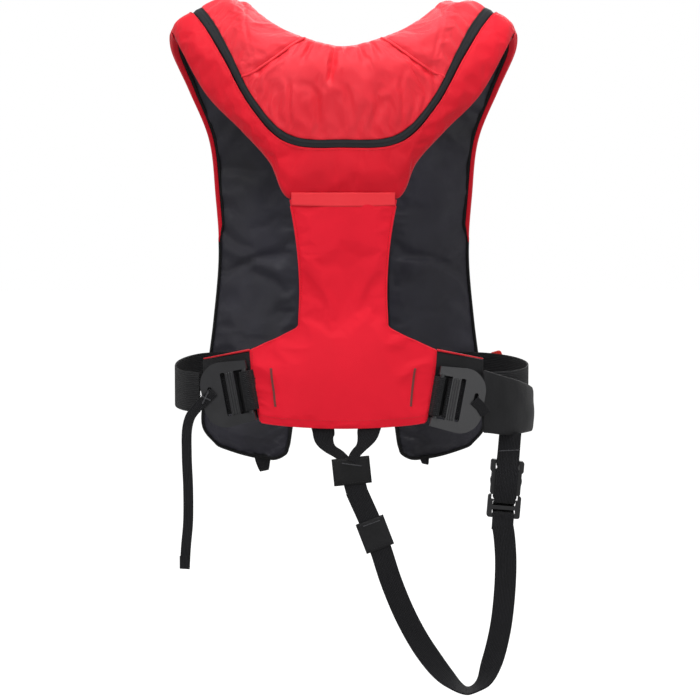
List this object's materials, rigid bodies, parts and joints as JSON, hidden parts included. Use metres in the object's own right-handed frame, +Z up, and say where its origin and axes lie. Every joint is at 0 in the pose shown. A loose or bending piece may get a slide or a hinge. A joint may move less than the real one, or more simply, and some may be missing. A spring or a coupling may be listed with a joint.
{
  "type": "inflatable life jacket",
  "caption": "Worn inflatable life jacket: puffed collar and front lobes, hourglass back panel, ladder adjusters on a waist belt, crotch strap with a hip clip.",
  "frame": {"origin": "midway between the wearer's shoulders, on the line where the jacket's body side rests on them", "axes": "+Z up, +Y the way the wearer faces, +X towards the wearer's right hand"},
  "size_m": [0.4396, 0.2888, 0.8324],
  "materials": {
    "red_fabric": "coated nylon, satin",
    "red_tape": "bonded tape",
    "black_fabric": "coated nylon",
    "black_mesh": "spacer mesh",
    "webbing": "woven polyester",
    "zip": "coil and tape",
    "plastic": "moulded acetal",
    "steel": "plated",
    "bladder": "coated fabric",
    "signal_red": "moulded",
    "signal_yellow": "moulded"
  },
  "bodies": {
    "jacket": {"shoulder_cover_right": "red_fabric", "lobe_cover_right": "black_fabric", "lobe_lining_right": "black_fabric", "waist_belt_right": "webbing", "lumbar_wing_right": "black_fabric", "adjuster_anchor_right": "webbing", "strap_pouch": "black_fabric", "inflator_body": "plastic", "side_band_right": "black_fabric", "shoulder_cover_left": "red_fabric", "lobe_cover_left": "black_fabric", "lobe_lining_left": "black_fabric", "waist_belt_left": "webbing", "lumbar_wing_left": "black_fabric", "adjuster_anchor_left": "webbing", "side_band_left": "black_fabric", "oral_tube": "plastic", "collar_cover": "red_fabric", "shoulder_yoke": "red_fabric", "collar_lining": "black_mesh", "zip": "zip", "bladder": "bladder", "back_mesh_pad": "black_mesh", "back_panel": "red_fabric", "seam_tape": "red_tape", "front_socket": "plastic", "front_plug": "plastic", "front_web_left": "webbing", "front_web_right": "webbing", "clip_socket": "plastic", "hip_strap": "webbing", "crotch_leg_left": "webbing", "crotch_leg_right": "webbing", "crotch_sleeve_upper": "black_fabric", "crotch_sleeve_lower": "black_fabric", "crotch_strap_back": "webbing"},
    "adjuster_right": {"adjuster_right": "plastic", "belt_thread_right": "webbing", "pull_strap_right": "webbing"},
    "adjuster_left": {"adjuster_left": "plastic", "belt_thread_left": "webbing", "pull_strap_left": "webbing"},
    "zip_slider_right": {"zip_slider_right": "zip"},
    "zip_pull_right": {"zip_pull_right": "zip"},
    "zip_slider_left": {"zip_slider_left": "zip"},
    "zip_pull_left": {"zip_pull_left": "zip"},
    "clip_plug": {"clip_plug": "plastic", "crotch_strap_thread": "webbing", "crotch_strap_front": "webbing"},
    "clip_arm_a": {"clip_arm_a": "plastic"},
    "clip_arm_b": {"clip_arm_b": "plastic"},
    "front_arm_a": {"front_arm_a": "plastic"},
    "front_arm_b": {"front_arm_b": "plastic"},
    "inflator_cap": {"inflator_cap": "signal_yellow"},
    "gas_cylinder": {"gas_cylinder": "steel"},
    "pull_handle": {"pull_handle": "signal_red"},
    "firing_lever": {"firing_lever": "signal_red"},
    "oral_cap": {"oral_cap": "signal_red"},
    "oral_valve": {"oral_valve": "signal_red"},
    "whistle": {"whistle": "signal_yellow"}
  },
  "joints": [
    {"name": "adjuster_right_lift", "type": "hinge", "parent": "jacket", "child": "adjuster_right", "pos_m": [0.1125, -0.10195, -0.419], "axis": [-0.1843, -0.0494, -0.9816], "range_deg": [0, 25]},
    {"name": "zip_slider_right_travel", "type": "slide", "parent": "jacket", "child": "zip_slider_right", "axis": [-0.1297, 0.0854, 0.9879], "range_m": [0, 0.03]},
    {"name": "zip_pull_right_flip", "type": "hinge", "parent": "zip_slider_right", "child": "zip_pull_right", "pos_m": [0.15656, 0.1502, -0.38979], "axis": [0.9614, -0.2329, 0.1464], "range_deg": [0, 150]},
    {"name": "adjuster_left_lift", "type": "hinge", "parent": "jacket", "child": "adjuster_left", "pos_m": [-0.113, -0.10166, -0.412], "axis": [-0.1843, 0.0494, 0.9816], "range_deg": [0, 25]},
    {"name": "zip_slider_left_travel", "type": "slide", "parent": "jacket", "child": "zip_slider_left", "axis": [0.1297, 0.0854, 0.9879], "range_m": [0, 0.03]},
    {"name": "zip_pull_left_flip", "type": "hinge", "parent": "zip_slider_left", "child": "zip_pull_left", "pos_m": [-0.15656, 0.1502, -0.38979], "axis": [0.9614, 0.2329, -0.1464], "range_deg": [0, 150]},
    {"name": "clip_plug_release", "type": "slide", "parent": "jacket", "child": "clip_plug", "axis": [-0.0819, 0, -0.9966], "range_m": [0, 0.04]},
    {"name": "clip_arm_a_squeeze", "type": "hinge", "parent": "clip_plug", "child": "clip_arm_a", "pos_m": [0.20621, -0.062, -0.54497], "axis": [0, -1, 0], "range_deg": [0, 9], "stiffness_Nm_per_rad": 0.3},
    {"name": "clip_arm_b_squeeze", "type": "hinge", "parent": "clip_plug", "child": "clip_arm_b", "pos_m": [0.18229, -0.062, -0.54301], "axis": [0, 1, 0], "range_deg": [0, 9], "stiffness_Nm_per_rad": 0.3},
    {"name": "front_arm_a_squeeze", "type": "hinge", "parent": "jacket", "child": "front_arm_a", "pos_m": [0.01, 0.106, -0.427], "axis": [0, 1, 0], "range_deg": [0, 9], "stiffness_Nm_per_rad": 0.3},
    {"name": "front_arm_b_squeeze", "type": "hinge", "parent": "jacket", "child": "front_arm_b", "pos_m": [0.01, 0.106, -0.381], "axis": [0, -1, 0], "range_deg": [0, 9], "stiffness_Nm_per_rad": 0.3},
    {"name": "inflator_cap_turn", "type": "hinge", "parent": "jacket", "child": "inflator_cap", "pos_m": [0.10297, 0.14512, -0.43522], "axis": [-0.0901, 0.9926, -0.0812], "range_deg": [0, 60]},
    {"name": "gas_cylinder_unscrew", "type": "hinge", "parent": "jacket", "child": "gas_cylinder", "pos_m": [0.10369, 0.1372, -0.40719], "axis": [-0.0073, 0.0808, 0.9967], "continuous": true},
    {"name": "pull_handle_pull", "type": "slide", "parent": "jacket", "child": "pull_handle", "axis": [0.9567, -0.0504, 0.2868], "range_m": [0, 0.05]},
    {"name": "firing_lever_swing", "type": "hinge", "parent": "jacket", "child": "firing_lever", "pos_m": [0.13035, 0.13109, -0.43388], "axis": [-0.0901, 0.9926, -0.0812], "range_deg": [0, 72]},
    {"name": "oral_cap_lift", "type": "slide", "parent": "jacket", "child": "oral_cap", "axis": [0.005, 0.0511, 0.9987], "range_m": [0, 0.018]},
    {"name": "oral_valve_press", "type": "slide", "parent": "jacket", "child": "oral_valve", "axis": [-0.005, -0.0511, -0.9987], "range_m": [0, 0.003], "stiffness_N_per_m": 100},
    {"name": "whistle_swing", "type": "hinge", "parent": "jacket", "child": "whistle", "pos_m": [-0.12485, 0.13381, -0.38171], "axis": [0.0966, 0.994, -0.0513], "range_deg": [-15, 15]}
  ],
  "couplings": [
    {"joint": "clip_arm_b_squeeze", "follows": "clip_arm_a_squeeze", "ratio": 1},
    {"joint": "front_arm_b_squeeze", "follows": "front_arm_a_squeeze", "ratio": 1},
    {"joint": "firing_lever_swing", "follows": "pull_handle_pull", "rad_per_m": 24.4}
  ]
}
